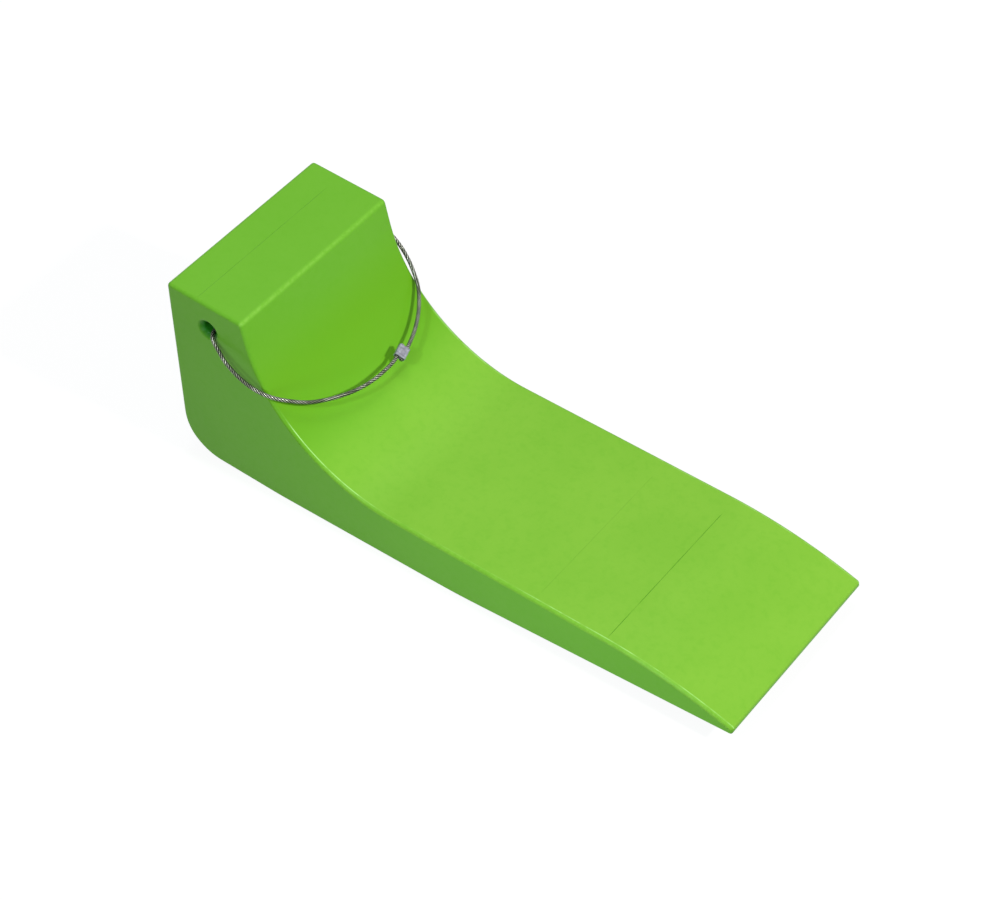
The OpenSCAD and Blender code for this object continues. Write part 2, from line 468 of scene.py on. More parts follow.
class Skin:
    """Collects points, faces and the shading direction of each face corner."""

    def __init__(self) -> None:
        """Starts empty."""
        self.points: list[Vector] = []
        self.faces: list[tuple[int, ...]] = []
        self.shading: list[Vector] = []
        self.fields: dict[str, dict[int, float]] = {}

    def point(self, place: Vector, **stored: float) -> int:
        """Adds a point.

        Args:
            place: Where it is, in millimetres.
            stored: Values that the mesh carries at this point.

        Returns:
            Its number.
        """
        number = len(self.points)
        self.points.append(place)
        for name, value in stored.items():
            self.fields.setdefault(name, {})[number] = value
        return number

    def face(self, corners: Sequence[int], shading: Sequence[Vector], flat: bool = False) -> None:
        """Adds a face and turns it to the side that its shading points to.

        Args:
            corners: The numbers of its points, in order.
            shading: The surface's true direction at each corner.
            flat: Whether the face's own direction is shaded instead.
        """
        own = geometry.normal([self.points[c] for c in corners])
        if own.dot(sum(shading, Vector())) < 0:
            corners, shading, own = corners[::-1], shading[::-1], -own
        self.faces.append(tuple(corners))
        self.shading.extend([own] * len(corners) if flat else shading)

    def sheet_between(
        self,
        rings: Sequence[Sequence[int]],
        shading: Sequence[Sequence[Vector]],
        creased: Collection[int] = frozenset(),
    ) -> None:
        """Joins closed rings of equal count, one after another.

        Args:
            rings: The points of each ring.
            shading: The surface's direction at each of them.
            creased: Points whose faces are shaded flat.
        """
        for (a, b), (na, nb) in zip(zip(rings, rings[1:]), zip(shading, shading[1:])):
            for k in range(len(a)):
                m = (k + 1) % len(a)
                corners = [a[k], a[m], b[m], b[k]]
                flat = any(number in creased for number in corners)
                self.face(corners, [na[k], na[m], nb[m], nb[k]], flat)

    def cap(self, loops: Sequence[Sequence[int]], out: Vector) -> None:
        """Fills a flat outline that may have holes.

        Args:
            loops: The outer loop and then each hole.
            out: The direction that the cap faces.
        """
        flat = [number for loop in loops for number in loop]
        outlines = [[self.points[number] for number in loop] for loop in loops]
        for triangle in geometry.tessellate_polygon(outlines):
            self.face([flat[k] for k in triangle], [out] * 3)

    def build(self, name: str, material: bpy.types.Material) -> bpy.types.Object:
        """Makes the object.

        Args:
            name: Its name.
            material: Its finish.

        Returns:
            The new object, linked to the scene.
        """
        mesh = bpy.data.meshes.new(name)
        mesh.from_pydata([p * MM for p in self.points], [], self.faces)
        mesh.shade_smooth()
        mesh.normals_split_custom_set([n.normalized() for n in self.shading])
        for field_name, values in self.fields.items():
            column = [values.get(k, 0.0) for k in range(len(self.points))]
            mesh.attributes.new(field_name, "FLOAT", "POINT").data.foreach_set("value", column)
        mesh.materials.append(material)
        made = bpy.data.objects.new(name, mesh)
        bpy.context.scene.collection.objects.link(made)
        counts = (len(self.points), len(self.faces), self._open_edges())
        LOG.info("%s: %d points, %d faces, %d open edges", name, *counts)
        return made

    def _open_edges(self) -> int:
        """Counts edges that don't have exactly two faces.

        Returns:
            Their number.
        """
        used: dict[tuple[int, int], int] = {}
        for corners in self.faces:
            for a, b in zip(corners, corners[1:] + corners[:1]):
                key = (min(a, b), max(a, b))
                used[key] = used.get(key, 0) + 1
        return sum(count != 2 for count in used.values())


class Station(NamedTuple):
    """A station along a bar: its section's inset there and the surface's tilt to the end."""

    at: float
    inset: float
    tilt: float


def rounded_end(half: float, r: float, facets: int) -> list[Station]:
    """Rounds the end of a bar.

    Args:
        half: Half of the bar's length.
        r: The rounding's radius.
        facets: The rounding's steps.

    Returns:
        Stations from the end to where the bar is straight.
    """
    turns = [math.radians(90 - 90 * k / facets) for k in range(facets + 1)]
    return [Station(r - half - r * math.sin(a), r - r * math.cos(a), -a) for a in turns]


def mirrored(stations: Sequence[Station]) -> list[Station]:
    """The same stations towards the bar's other end."""
    return [Station(-at, inset, -tilt) for at, inset, tilt in reversed(stations)]


# ---- outline of the block ----


@dataclass(frozen=True)
class Corner:
    """A sharp corner of the side outline: distance from the rear face, height and radius."""

    x: float
    z: float
    radius: float


@dataclass(frozen=True)
class Stretch:
    """A straight or round stretch of the outline, with the direction outwards at its start."""

    start: Vector
    end: Vector
    out: Vector
    turn: float = 0.0
    radius: float = 0.0
    hollow: bool = False

    def at(self, t: float) -> tuple[Vector, Vector]:
        """A place along the stretch.

        Args:
            t: From 0 at its start to 1 at its end.

        Returns:
            The place and the direction outwards.
        """
        if not self.radius:
            return self.start.lerp(self.end, t), self.out
        reach = -self.radius if self.hollow else self.radius
        out = rotated(self.out, self.turn * t)
        return self.start + (out - self.out) * reach, out

    def share_at(self, x: float) -> float | None:
        """Finds the place over a distance from the rear face.

        Args:
            x: That distance.

        Returns:
            The share of the stretch, or None if it doesn't reach there running forward.
        """
        if not self.start.x < x < self.end.x:
            return None
        low, high = 0.0, 1.0
        for _ in range(HALVINGS):
            middle = (low + high) / 2
            low, high = (middle, high) if self.at(middle)[0].x < x else (low, middle)
        return low


def rotated(v: Vector, angle: float) -> Vector:
    """Turns a flat vector to the left by an angle in radians."""
    c, s = math.cos(angle), math.sin(angle)
    return Vector((v.x * c - v.y * s, v.x * s + v.y * c))


@dataclass(frozen=True)
class Outline:
    """The rounded side outline, which runs clockwise from the heel."""

    corners: tuple[Corner, ...]
    sagitta: float = 0.015
    sagitta_share: float = 0.02
    straight_step: float = 12.0
    mark_room: float = 0.35

    def stretches(self) -> list[Stretch]:
        """Joins the corners' roundings.

        Returns:
            The round and straight stretches in order.
        """
        count = len(self.corners)
        places = [Vector((corner.x, corner.z)) for corner in self.corners]
        arcs = []
        for i, corner in enumerate(self.corners):
            into = (places[i] - places[i - 1]).normalized()
            away = (places[(i + 1) % count] - places[i]).normalized()
            cross = into.x * away.y - into.y * away.x
            turn = math.atan2(cross, into.dot(away))
            tangent = corner.radius * math.tan(abs(turn) / 2)
            out = Vector((-into.y, into.x))
            start, end = places[i] - into * tangent, places[i] + away * tangent
            arcs.append(Stretch(start, end, out, turn, corner.radius, turn > 0))
        joined = []
        for arc, after in zip(arcs, arcs[1:] + arcs[:1]):
            joined += [arc, Stretch(arc.end, after.start, arc.at(1.0)[1])]
        return joined

    def points(self, marks: dict[float, str]) -> list[tuple[Vector, Vector, str]]:
        """Samples the outline.

        Args:
            marks: Labels by distance from the rear face, where the upper side needs a point.

        Returns:
            Place, direction outwards and label of each point; most labels are empty.
        """
        found = []
        for stretch in self.stretches():
            length = (stretch.end - stretch.start).length
            if stretch.radius:
                rise = min(self.sagitta / stretch.radius, self.sagitta_share)
                step = 2 * math.acos(1 - rise)
                count = max(2, math.ceil(abs(stretch.turn) / step))
            else:
                count = max(1, math.ceil(length / self.straight_step))
            shares = {k / count: "" for k in range(count)}
            for x, label in marks.items():
                share = stretch.share_at(x)
                if share is None:
                    continue
                near = self.mark_room / max(length, 1.0)
                shares = {
                    s: kept for s, kept in shares.items() if kept or s == 0 or abs(s - share) > near
                }
                shares[share] = label
            found += [(*stretch.at(share), shares[share]) for share in sorted(shares)]
        return found


# ---- carrying loop ----


class Side(Enum):
    """The two barrels of the ferrule."""

    INNER = -1
    OUTER = 1


@dataclass
class CarryLoop:
    """Wire rope threaded through the head, its two ends crimped side by side in one ferrule."""

    rope_d: float = 4.0
    laid_d: float = 3.7
    lay_length: float = 20.5
    strands: int = 6
    strand_facets: int = 4
    facet_turn: float = 25.0
    valley_power: float = 1.6
    wire_turns: float = 2.0
    wire_lay: float = 1.4
    wire_step: float = 0.31
    ring_step: float = 1.4
    span_points: int = 8
    rest_angle: float = 34.0
    left_run: tuple[Spot, ...] = (
        (129.2, 9, 0), (128.8, -7, 0), (126.2, -24, 0), (121.5, -40, 0), (114.5, -57, 0),
        (105, -74, 0.5), (93, -88.2, 1.5), (80, -99.2, 1.5), (66, -105.7, 0.5), (50, -108.8, 0),
        (32, -108.8, 0), (18, -105.6, 0), (10.6, -103.4, 0), (6.4, -100.6, 0),
    )
    bore_run: tuple[Spot, ...] = (
        (4, -96, 0), (3, -86, 0), (-1.6, -46, 0), (-4, 0, 0), (-1.6, 46, 0), (3, 86, 0), (4, 96, 0),
    )
    right_run: tuple[Spot, ...] = (
        (6.4, 100.8, 0), (10.6, 104.0, 0), (18, 106.4, 0), (32, 109.8, 0), (50, 110.0, 0),
        (66, 106.9, 0), (80, 101.4, 0), (93.5, 93.8, 0), (104.5, 83.2, 0), (113.5, 71.6, 0),
        (121, 58.4, 0),
    )
    barrel_run: tuple[float, ...] = (-12.0, -6.0, 0.0, 7.5)
    barrel_d: float = 4.2
    barrel_step: float = 5.1
    barrel_facets: int = 24
    mouth_ease: float = 0.25
    barrel_grime: float = 0.8
    ferrule_l: float = 12.0
    sleeve_t: float = 6.6
    side_wall: float = 0.9
    waist: float = 0.15
    edge_r: float = 1.7
    end_r: float = 0.6
    edge_facets: int = 6
    face_facets: int = 12
    end_facets: int = 4
    press_stations: tuple[float, ...] = (0.0, 0.8, 1.5, 2.0, 2.6, 3.3, 3.9, 4.4)
    press_depth: float = 0.22
    press_at: float = 2.7
    press_reach: float = 1.2
    dent_depth: float = 0.10
    dent_scale: float = 0.45
    dent_level: float = 0.5
    reach: float = 127.6
    across: float = 32.5
    turn: float = 17.0

    def __post_init__(self) -> None:
        """Works out the bore's axis, the loop plane's directions and the ferrule's."""
        a, t = math.radians(self.rest_angle), math.radians(self.turn)
        hinge = next(joint for joint in frame["joints"] if joint["child"] == "carry_loop")
        self.pivot = Vector(hinge["pos_m"]) / MM
        self.down = Vector((math.cos(a), 0.0, -math.sin(a)))
        self.lift = Vector((math.sin(a), 0.0, math.cos(a)))
        self.wide = self.down * math.cos(t) + ACROSS * math.sin(t)
        self.along = ACROSS * math.cos(t) - self.down * math.sin(t)

    def place(self, spot: Sequence[float]) -> Vector:
        """Places a point by its reach from the bore's axis, distance across and lift."""
        return self.pivot + self.down * spot[0] + ACROSS * spot[1] + self.lift * spot[2]

    def ferrule_place(self, flat: Vector, along: float) -> Vector:
        """Places a point of the ferrule by its section and its distance from the middle."""
        middle = self.place((self.reach, self.across, 0.0))
        return middle + self.wide * flat.x + self.lift * flat.y + self.along * along

    def barrel_middle(self, side: Side) -> Vector:
        """The middle of one barrel in the ferrule's section."""
        return Vector((side.value * self.barrel_step / 2, 0.0))

    def centreline(self) -> list[Vector]:
        """Runs the rope's middle from one cut end to the other.

        Returns:
            Its points, evenly spaced.
        """
        inner, outer = (self.barrel_middle(side) for side in Side)
        route = [
            *(self.ferrule_place(inner, along) for along in reversed(self.barrel_run)),
            *(self.place(spot) for spot in (*self.left_run, *self.bore_run, *self.right_run)),
            *(self.ferrule_place(outer, -along) for along in self.barrel_run),
        ]
        last = len(route) - 1
        dense = []
        for i in range(last):
            knots = [route[max(0, min(last, i + k))] for k in (-1, 0, 1, 2)]
            dense += [spline(*knots, k / self.span_points) for k in range(self.span_points)]
        return evenly([*dense, route[-1]], self.ring_step)

    def strand_section(self) -> list[tuple[float, float, float]]:
        """One strand's share of the rope's outline.

        Returns:
            Angle about the rope in turns, distance from its middle, and depth into the valley
            from 0 to 1.
        """
        strand_r = self.laid_d / 6  # six strands fill the ring round a core of their own size
        centre = self.laid_d / 2 - strand_r
        section = []
        for k in range(-self.strand_facets, self.strand_facets + 1):
            a = math.radians(self.facet_turn * k)
            x, y = centre + strand_r * math.cos(a), strand_r * math.sin(a)
            valley = (abs(k) / self.strand_facets) ** self.valley_power
            section.append((math.atan2(y, x) / math.tau, math.hypot(x, y), valley))
        return section

    def build_rope(self, material: bpy.types.Material) -> tuple[bpy.types.Object, list[Vector]]:
        """Lays the strands round the centreline.

        Args:
            material: The rope's finish.

        Returns:
            The rope and the centreline that it follows, in millimetres.
        """
        line, section = self.centreline(), self.strand_section()
        skin, walked = Skin(), 0.0
        rings, shading = [], []
        for i, middle in enumerate(line):
            ahead = (line[min(i + 1, len(line) - 1)] - line[max(i - 1, 0)]).normalized()
            side = ahead.cross(self.lift).normalized()
            up = side.cross(ahead)
            walked += (middle - line[max(i - 1, 0)]).length
            lays = walked / self.lay_length
            ring, outs = [], []
            for strand in range(self.strands):
                for share, distance, valley in section:
                    angle = (share + strand / self.strands - lays) * math.tau
                    out = side * math.cos(angle) + up * math.sin(angle)
                    wire = share * self.wire_turns + lays * self.wire_lay + strand * self.wire_step
                    spot = middle + out * distance
                    ring.append(skin.point(spot, valley=valley, wire_turn=wire))
                    outs.append(out)
            rings.append(ring)
            shading.append(outs)
        self._shade_strands(skin, rings, shading)
        skin.sheet_between(rings, shading)
        skin.cap([rings[0]], line[0] - line[1])
        skin.cap([rings[-1]], line[-1] - line[-2])
        return skin.build("wire_rope", material), line

    def _shade_strands(
        self, skin: Skin, rings: list[list[int]], shading: list[list[Vector]]
    ) -> None:
        """Replaces round shading by the strands' own rounded backs.

        Args:
            skin: The rope's points.
            rings: The points of each ring.
            shading: The directions to replace.
        """
        count = len(rings[0])
        for i, ring in enumerate(rings):
            before, after = rings[max(i - 1, 0)], rings[min(i + 1, len(rings) - 1)]
            fresh = []
            for k in range(count):
                along = skin.points[after[k]] - skin.points[before[k]]
                round_it = skin.points[ring[(k + 1) % count]] - skin.points[ring[k - 1]]
                out = round_it.cross(along).normalized()
                fresh.append(out if out.dot(shading[i][k]) > 0 else -out)
            shading[i] = fresh

    def sleeve_outline(self) -> list[tuple[Vector, Vector, float]]:
        """The ferrule's section: a rounded bar, pressed in a little along the middle of both faces.

        Returns:
            Place, direction outwards, and depth into the pressed middle from 0 to 1.
        """
        half_w = (self.barrel_step + self.barrel_d) / 2 + self.side_wall - self.edge_r
        half_t = self.sleeve_t / 2 - self.edge_r
        found = []
        for quarter, (x, y) in enumerate(((1, 1), (-1, 1), (-1, -1), (1, -1))):
            for k in range(self.edge_facets + 1):
                out = rotated(EAST, math.pi / 2 * (quarter + k / self.edge_facets))
                found.append((Vector((x * half_w, y * half_t)) + out * self.edge_r, out, 0.0))
            if quarter % 2:
                continue
            for k in range(1, self.face_facets):
                share = k / self.face_facets
                deep = math.sin(math.pi * share) ** 2
                slope = self.waist * math.pi * math.sin(math.tau * share) / (2 * half_w)
                face = half_t + self.edge_r - self.waist * deep
                place = Vector((x * half_w * (1 - 2 * share), y * face))
                found.append((place, Vector((-x * slope, y)).normalized(), deep))
        return found

    def build_ferrule(self, material: bpy.types.Material) -> bpy.types.Object:
        """Presses the sleeve with its two barrels.

        Args:
            material: The ferrule's finish.

        Returns:
            The ferrule.
        """
        skin = Skin()
        rings, shading = [], []
        for v, inset, tilt in self._sleeve_stations():
            ring, outs = [], []
            for place, out, deep in self.sleeve_outline():
                here = Vector((place.x, place.y, v)) * self.dent_scale
                dent = self.dent_depth * (noise.noise(here) - self.dent_level)
                spot = self.ferrule_place(place - out * (inset - min(dent, 0.0)), v)
                ring.append(skin.point(spot, valley=deep))
                level = (self.wide * out.x + self.lift * out.y) * math.cos(tilt)
                outs.append(level + self.along * math.sin(tilt))
            rings.append(ring)
            shading.append(outs)
        skin.sheet_between(rings, shading)
        holes = [self._barrel(skin, side) for side in Side]
        skin.cap([rings[0], *(hole[0] for hole in holes)], -self.along)
        skin.cap([rings[-1], *(hole[-1] for hole in holes)], self.along)
        return skin.build("pressed_ferrule", material)

    def _sleeve_stations(self) -> list[Station]:
        """Divides the sleeve along its length, with a pressed band towards each end.

        Returns:
            Its stations.
        """
        ends = rounded_end(self.ferrule_l / 2, self.end_r, self.end_facets)
        found = list(ends)
        for v in (*(-v for v in reversed(self.press_stations[1:])), *self.press_stations):
            share = (abs(v) - self.press_at) / self.press_reach
            pressed, slope = 0.0, 0.0
            if abs(share) < 1:
                pressed = self.press_depth * math.cos(share * math.pi / 2)
                steep = self.press_depth * math.pi / 2 / self.press_reach
                slope = -steep * math.sin(share * math.pi / 2)
            found.append(Station(v, pressed, math.atan(slope) * (1 if v > 0 else -1)))
        return found + mirrored(ends)

    def _barrel(self, skin: Skin, side: Side) -> list[list[int]]:
        """Lines one barrel.

        Args:
            skin: The ferrule's points.
            side: Which barrel.

        Returns:
            Its rings from one mouth to the other.
        """
        count, r, ease = self.barrel_facets, self.barrel_d / 2, self.mouth_ease
        middle, half = self.barrel_middle(side), self.ferrule_l / 2
        spokes = [rotated(EAST, math.tau * k / count) for k in range(count)]
        inward = [-(self.wide * out.x + self.lift * out.y) for out in spokes]
        throat, mouth = half - ease, r + ease
        profile = ((-half, mouth), (-throat, r), (0.0, r), (throat, r), (half, mouth))
        rings = []
        for v, radius in profile:
            places = [self.ferrule_place(middle + out * radius, v) for out in spokes]
            # painted shade inside the barrel
            rings.append([skin.point(place, valley=self.barrel_grime) for place in places])
        skin.sheet_between(rings, [inward] * len(rings))
        return rings

    def dress(self) -> None:
        """Builds the rope and the ferrule and hands them to the frame."""
        rope, line = self.build_rope(StrandedSteel().material())
        ferrule = self.build_ferrule(PressedAluminium().material())
        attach(rope, "carry_loop")
        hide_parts("rope_loop")
        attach(ferrule, "carry_loop")
        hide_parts("crimp_ferrule")
        length = sum((b - a).length for a, b in zip(line, line[1:]))
        line[0] * MM
        [p * MM for p in line]
        LOG.info("wire rope: %.1f mm from cut end to cut end", length)


def spline(a: Vector, b: Vector, c: Vector, d: Vector, t: float) -> Vector:
    """Uniform Catmull-Rom point.

    Args:
        a: The point before the span.
        b: Its start.
        c: Its end.
        d: The point after it.
        t: From 0 at b to 1 at c.

    Returns:
        The point.
    """
    return 0.5 * (
        2 * b + (c - a) * t + (2 * a - 5 * b + 4 * c - d) * t**2 + (3 * b - a - 3 * c + d) * t**3
    )


def evenly(line: Sequence[Vector], step: float) -> list[Vector]:
    """Spaces points evenly along a line.

    Args:
        line: The line's points.
        step: The distance wanted between them.

    Returns:
        The new points, with both ends kept.
    """
    reached = [0.0]
    for a, b in zip(line, line[1:]):
        reached.append(reached[-1] + (b - a).length)
    count = round(reached[-1] / step)
    found, k = [], 0
    for i in range(count + 1):
        want = reached[-1] * i / count
        while k < len(line) - 2 and reached[k + 1] < want:
            k += 1
        share = (want - reached[k]) / (reached[k + 1] - reached[k])
        found.append(line[k].lerp(line[k + 1], share))
    return found


# ---- block ----


@dataclass(frozen=True)
class WitnessLine:
    """A shallow line across the block where two parts of its mould met."""

    x: float
    middle: float
    length: float
    depth: float
    seed: float
    fade: float = 5.0
    wander_scale: float = 0.045
    wander_level: float = 0.85
    faintest: float = 0.25

    def depth_at(self, y: float) -> float:
        """Works out the depth, which comes and goes along the line.

        Args:
            y: The distance across the block.

        Returns:
            The depth there, 0 past the line's ends.
        """
        inside = (self.length / 2 - abs(y - self.middle)) / self.fade
        wander = noise.noise(Vector((y * self.wander_scale, self.seed, 0.0))) + self.wander_level
        return self.depth * min(1.0, max(0.0, inside)) * min(1.0, max(self.faintest, wander))


@dataclass(frozen=True)
class Wear:
    """Where the skin changes or carries painted sheen, shade and highlights: by height, by distance
    from the rear face or by tilt.
    """

    facing_up: float = 0.2
    facing_down: float = -0.9
    # heights over which the paler tread and its painted sheen fade in, on upward faces only
    tread: Rise = Rise(108.0, 53.0)
    # heights over which the seat's painted shade fades in and out
    hollow_foot: Rise = Rise(60.0, 102.0)
    hollow_top: Rise = Rise(185.0, 120.0)
    # the painted highlight along the long upper edges: where it starts, its tilt, and how it fades
    # with height and along the block
    polish_gap: float = 8.0
    polish_tilt: float = 11.25
    polish_top: Rise = Rise(105.0, 93.0)
    polish_seat: Rise = Rise(228.0, 198.0)
    polish_toe: Rise = Rise(360.0, 410.0)
    polish_toe_share: float = 0.75
    polish_least: float = 0.12
    # the painted highlight on the head's front top edge: width, sharpness, strength and fade across
    crest_width: float = 6.0
    crest_power: int = 3
    crest_share: float = 0.60
    crest_lean: float = 0.4
    line_depth: float = 0.25

    def polish_at(self, place: Vector, tilt: float) -> float:
        """How strongly the painted highlight shows along a long upper edge.

        Args:
            place: A point of the side outline.
            tilt: The turn of the surface towards the side.

        Returns:
            The share, largest where the edge's rounding meets the upper side.
        """
        near = max(0.0, 1 - abs(math.degrees(abs(tilt)) / self.polish_tilt - 1))
        toe = self.polish_toe_share * self.polish_toe.at(place.x)
        along = max(self.polish_least, self.polish_seat.at(place.x), toe)
        return near * along * self.polish_top.at(place.y)


class Knot(NamedTuple):
    """A point of the block's skin: its number, the surface's direction, and if a line cuts it."""

    number: int
    out: Vector
    cut: bool


@dataclass
class Block:
    """The solid moulded chock: head, wheel seat, tongue and toe in one piece, with a cross bore."""

    length: float = 595.0
    width: float = 200.0
    head_h: float = 202.0
    head_fall: float = 4.0
    head_l: float = 84.0
    head_rear_r: float = 4.0
    head_front_r: float = 5.0
    face_lean: float = 12.2
    seat_r: float = 154.0
    tongue_h: float = 52.8
    tongue_fall: float = 0.6
    nose_l: float = 69.0
    nose_r: float = 420.0
    toe_h: float = 25.3
    toe_r: float = 3.5
    rise_x: float = 309.0
    rise_r: float = 640.0
    toe_rise: float = 3.6
    heel_x: float = 110.0
    heel_foot_r: float = 320.0
    heel_rise: float = 2.5
    heel_r: float = 42.0
    side_r: float = 3.4
    base_r: float = 1.2
    base_turn: Rise = Rise(-0.7, 0.0)
    side_facets: int = 8
    side_plain: float = 0.02
    cross_step: float = 4.0
    bore_x: float = 44.0
    bore_drop: float = 30.5
    bore_d: float = 13.0
    bore_facets: int = 64
    bore_depths: tuple[float, ...] = (15.0, 35.0, 65.0)
    bore_shade: float = 0.62
    bore_shade_most: float = 0.92
    mouth_flare: float = 4.0
    mouth_lean: float = 45.0
    mouth_r: float = 3.5
    mouth_facets: int = 5
    line_w: float = 1.0
    lines: tuple[WitnessLine, ...] = (
        WitnessLine(33.0, -9.0, 178.0, 0.15, 1.0),
        WitnessLine(393.0, -5.0, 168.0, 0.07, 2.0),
        WitnessLine(466.5, -10.5, 175.0, 0.24, 3.0),
    )
    wear: Wear = Wear()

    def outline(self) -> Outline:
        """Works out the side outline.

        Returns:
            The outline with its rounded corners.
        """
        face_h = self.head_h - self.head_fall
        seat_x = self.head_l + (face_h - self.tongue_h) * math.tan(math.radians(self.face_lean))
        nose_x = self.length - self.nose_l
        nose_z = self.tongue_h - (nose_x - seat_x) * math.tan(math.radians(self.tongue_fall))
        toe_z = (self.length - self.rise_x) * math.tan(math.radians(self.toe_rise))
        heel_z = self.heel_x * math.tan(math.radians(self.heel_rise))
        return Outline(
            (
                Corner(0.0, heel_z, self.heel_r),
                Corner(0.0, self.head_h, self.head_rear_r),
                Corner(self.head_l, face_h, self.head_front_r),
                Corner(seat_x, self.tongue_h, self.seat_r),
                Corner(nose_x, nose_z, self.nose_r),
                Corner(self.length, self.toe_h, self.toe_r),
                Corner(self.length, toe_z, self.toe_r),
                Corner(self.rise_x, 0.0, self.rise_r),
                Corner(self.heel_x, 0.0, self.heel_foot_r),
            )
        )

    def stations(self) -> list[Station]:
        """Divides the block across.

        Returns:
            Its stations; the first and the last lie on the plain sides.
        """
        half, r = self.width / 2, self.side_r
        plain = Station(-half, r + self.side_plain, -math.pi / 2)
        edge = [plain, *rounded_end(half, r, self.side_facets)[:-1]]
        flat, count = half - r, round(2 * (half - r) / self.cross_step)
        middle = [Station(-flat + 2 * flat * k / count, 0.0, 0.0) for k in range(count + 1)]
        return edge + middle + mirrored(edge)

    def drawn(self, station: Station, out: Vector) -> tuple[float, float]:
        """Fits a station to the edge's rounding, which is tighter round the underside.

        Args:
            station: The station across the block.
            out: The direction outwards of the outline.

        Returns:
            The distance across and the inset there.
        """
        half, y = self.width / 2, station.at
        radius = self.base_r + (self.side_r - self.base_r) * self.base_turn.at(out.y)
        scale, flat = radius / self.side_r, half - self.side_r
        if abs(y) < flat:
            return y * (half - radius) / flat, station.inset
        return math.copysign(half - scale * (half - abs(y)), y), station.inset * scale

    def crest(self, place: Vector, out: Vector) -> float:
        """How strongly the painted highlight shows on the head's front top edge.

        Args:
            place: A point of the side outline.
            out: The direction outwards there.

        Returns:
            1 in the middle of that edge's rounding, 0 away from it.
        """
        if abs(place.x - self.head_l) > self.wear.crest_width or place.y < self.head_h / 2:
            return 0.0
        top = math.atan2(self.head_fall, self.head_l)
        share = (math.atan2(out.x, out.y) - top) / (math.radians(90 - self.face_lean) - top)
        return max(0.0, math.sin(math.pi * min(1.0, max(0.0, share)))) ** self.wear.crest_power

    def carried(
        self, place: Vector, out: Vector, y: float, tilt: float, depth: float
    ) -> dict[str, float]:
        """The values that the mesh carries at a point, for the finish.

        Args:
            place: The point of the side outline.
            out: The direction outwards there.
            y: The distance across.
            tilt: The turn of the surface towards the side.
            depth: The depth of a witness line there.

        Returns:
            The values by name, each from 0 to 1.
        """
        wear = self.wear
        crest = self.crest(place, out) * (wear.crest_share - wear.crest_lean * y / self.width)
        upper = out.y >= wear.facing_up and place.x >= self.head_l
        polished = upper and place.x >= self.head_l + wear.polish_gap
        # painted shade in the seat's hollow, by height
        hollow = wear.hollow_foot.at(place.y) * wear.hollow_top.at(place.y)
        return {
            # painted shade, strongest halfway round each edge's rounding
            "rim": max(0.0, math.sin(2 * abs(tilt))) * (1 - crest),
            "underside": float(out.y < wear.facing_down),
            "tread": wear.tread.at(place.y) if upper else 0.0,
            "hollow": hollow if upper else 0.0,
            "crest": crest,
            "edge_highlight": wear.polish_at(place, tilt) if polished else 0.0,
            "line": min(1.0, depth / wear.line_depth),
        }

    def build(self, material: bpy.types.Material) -> bpy.types.Object:
        """Makes the block.

        Args:
            material: The block's finish.

        Returns:
            The block.
        """
        skin, stations = Skin(), self.stations()
        marks: dict[float, str] = {}
        edge = self.line_w / 2
        for number, line in enumerate(self.lines):
            marks |= {line.x - edge: "edge", line.x: str(number), line.x + edge: "edge"}
        rows = []
        for place, out, label in self.outline().points(marks):
            line = self.lines[int(label)] if label.isdigit() else None
            rows.append([self._knot(skin, place, out, line, station) for station in stations])
        rings = [[knot.number for knot in column] for column in zip(*rows)]
        shading = [[knot.out for knot in column] for column in zip(*rows)]
        cut = {knot.number for row in rows for knot in row if knot.cut}
        skin.sheet_between(rings, shading, cut)
        mouths = self._bore(skin)
        skin.cap([rings[0], mouths[0]], -ACROSS)
        skin.cap([rings[-1], mouths[-1]], ACROSS)
        return skin.build("moulded_block", material)

    def _knot(
        self, skin: Skin, place: Vector, out: Vector, line: WitnessLine | None, station: Station
    ) -> Knot:
        """Adds one point of the skin; those on the plain sides carry no values.

        Args:
            skin: The block's points.
            place: The point of the side outline.
            out: The direction outwards there.
            line: The witness line that runs there, if any.
            station: The station across the block.

        Returns:
            The point.
        """
        y, inset = self.drawn(station, out)
        depth = line.depth_at(y) if line else 0.0
        flat = place - out * (inset + depth)
        spot = Vector((flat.x - self.length / 2, y, flat.y))
        side = station.inset > self.side_r
        values = {} if side else self.carried(place, out, y, station.tilt, depth)
        level = Vector((out.x, 0.0, out.y))
        normal = level * math.cos(station.tilt) + ACROSS * math.sin(station.tilt)
        return Knot(skin.point(spot, **values), normal, depth > 0)

    def _mouth(self) -> list[tuple[float, float, float]]:
        """The bore's profile from a side of the block to its middle.

        Returns:
            Depth, radius, and the turn of the surface from the side.
        """
        bore_r, flare, r = self.bore_d / 2, self.mouth_flare, self.mouth_r
        tangent = r * math.tan(math.radians(self.mouth_lean / 2))
        rim, steps = bore_r + flare + tangent, self.mouth_facets
        turns = [math.radians(self.mouth_lean * k / steps) for k in range(steps + 1)]
        lean = math.radians(self.mouth_lean)
        outer = [(r - r * math.cos(a), rim - r * math.sin(a), a) for a in turns]
        deep, wide = flare + tangent, bore_r + r
        inner = [(deep - r * math.cos(lean + a), wide - r * math.sin(lean + a)) for a in turns]
        depths = (*self.bore_depths, self.width / 2)
        straight = [(depth, bore_r, math.pi / 2) for depth in depths]
        return outer + [(*place, lean + a) for place, a in zip(inner, turns)] + straight

